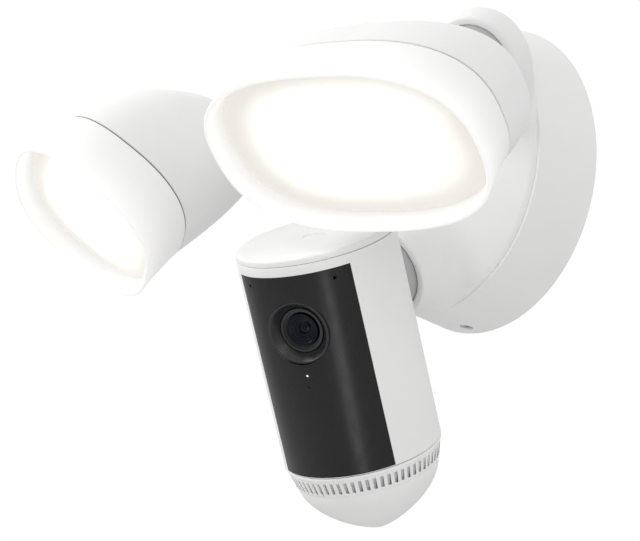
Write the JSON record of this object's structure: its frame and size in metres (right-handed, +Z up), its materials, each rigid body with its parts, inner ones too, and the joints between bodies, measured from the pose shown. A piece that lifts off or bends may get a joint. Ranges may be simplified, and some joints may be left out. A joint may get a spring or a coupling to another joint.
{
  "type": "floodlight security camera",
  "caption": "Wall-mounted security camera with two oval floodlights on ball joints, a round tapered base and a cylindrical head with a dark window.",
  "frame": {"origin": "centre of the wall bracket's rear face, on the wall", "axes": "+Z up, -Y out of the wall towards the front, +X to the viewer's right seen from the front"},
  "size_m": [0.3101, 0.1917, 0.2334],
  "materials": {
    "shell_white": "matte",
    "diffuser": "satin",
    "window_black": "gloss",
    "dome_white": "satin",
    "trim_black": "satin",
    "lens_glass": "gloss",
    "gasket": "matte",
    "cup_grey": "matte",
    "board": "satin",
    "board_white": "satin",
    "led": "satin",
    "aluminium": "satin",
    "steel": "satin",
    "component_dark": "satin",
    "component_yellow": "satin",
    "lead_jacket": "satin",
    "indicator": "gloss"
  },
  "bodies": {
    "base": {"wall_bracket": "steel", "wall_gasket": "gasket", "base_plate": "shell_white", "cable_gland": "gasket", "base_rim": "shell_white", "base_cover": "shell_white", "cover_screws": "steel", "security_screw": "steel", "ground_screw": "steel", "terminal_block": "board_white", "driver_board": "board", "transformer": "component_yellow", "capacitors": "component_dark", "fixing_bolts": "steel", "siren": "component_dark", "board_screws": "steel", "mains_leads": "lead_jacket"},
    "cup_right": {"cup_r": "cup_grey"},
    "ball_right": {"ball_r_lamp": "shell_white"},
    "lamp_right": {"shell_r": "shell_white", "bezel_r": "shell_white", "seam_r": "gasket", "neck_r": "shell_white", "heat_sink_r": "aluminium", "led_board_r": "board_white", "led_chips_r": "led", "reflector_r": "shell_white", "diffuser_r": "diffuser", "screws_r": "steel"},
    "cup_left": {"cup_l": "cup_grey"},
    "ball_left": {"ball_l_lamp": "shell_white"},
    "lamp_left": {"shell_l": "shell_white", "bezel_l": "shell_white", "seam_l": "gasket", "neck_l": "shell_white", "heat_sink_l": "aluminium", "led_board_l": "board_white", "led_chips_l": "led", "reflector_l": "shell_white", "diffuser_l": "diffuser", "screws_l": "steel"},
    "cup_camera": {"cup_cam": "cup_grey"},
    "ball_camera": {"ball_cam": "shell_white"},
    "camera": {"cam_neck": "shell_white", "cam_shell": "shell_white", "cam_cap": "shell_white", "cam_window": "window_black", "lens_bezel": "trim_black", "lens_barrel": "trim_black", "lens_glass": "lens_glass", "image_board": "board", "main_board": "board", "status_lights": "indicator", "infrared_leds": "component_dark", "speaker": "component_dark", "cam_seam": "gasket", "vent_ring": "shell_white", "motion_dome": "dome_white", "motion_board": "board"},
    "button": {"setup_button": "shell_white"}
  },
  "joints": [
    {"name": "lamp_right_pan", "type": "hinge", "parent": "base", "child": "cup_right", "pos_m": [0.0655, -0.0667, 0.0318], "axis": [0, 0, 1], "range_deg": [-5, 30]},
    {"name": "lamp_right_tilt", "type": "hinge", "parent": "cup_right", "child": "ball_right", "pos_m": [0.0655, -0.0667, 0.0318], "axis": [0.9628, 0.2703, 0], "range_deg": [-25, 3]},
    {"name": "lamp_right_roll", "type": "hinge", "parent": "ball_right", "child": "lamp_right", "pos_m": [0.0655, -0.0667, 0.0318], "axis": [0.2223, -0.7917, -0.569], "range_deg": [-20, 20]},
    {"name": "lamp_left_pan", "type": "hinge", "parent": "base", "child": "cup_left", "pos_m": [-0.0655, -0.0667, 0.0318], "axis": [0, 0, 1], "range_deg": [-30, 5]},
    {"name": "lamp_left_tilt", "type": "hinge", "parent": "cup_left", "child": "ball_left", "pos_m": [-0.0655, -0.0667, 0.0318], "axis": [0.9067, -0.4217, 0], "range_deg": [-25, 3]},
    {"name": "lamp_left_roll", "type": "hinge", "parent": "ball_left", "child": "lamp_left", "pos_m": [-0.0655, -0.0667, 0.0318], "axis": [-0.3454, -0.7427, -0.5737], "range_deg": [-20, 20]},
    {"name": "camera_pan", "type": "hinge", "parent": "base", "child": "cup_camera", "pos_m": [0, -0.0586, -0.052], "axis": [0, 0, 1], "range_deg": [-50, 6]},
    {"name": "camera_tilt", "type": "hinge", "parent": "cup_camera", "child": "ball_camera", "pos_m": [0, -0.0586, -0.052], "axis": [0.8949, 0.4462, 0], "range_deg": [-6, 14]},
    {"name": "camera_roll", "type": "hinge", "parent": "ball_camera", "child": "camera", "pos_m": [0, -0.0586, -0.052], "axis": [0.3903, -0.7827, -0.4848], "range_deg": [-12, 12]},
    {"name": "setup_button_press", "type": "slide", "parent": "camera", "child": "button", "axis": [-0.1613, 0.4603, -0.873], "range_m": [0, 0.0008], "stiffness_N_per_m": 900, "springref_m": -0.0006}
  ]
}
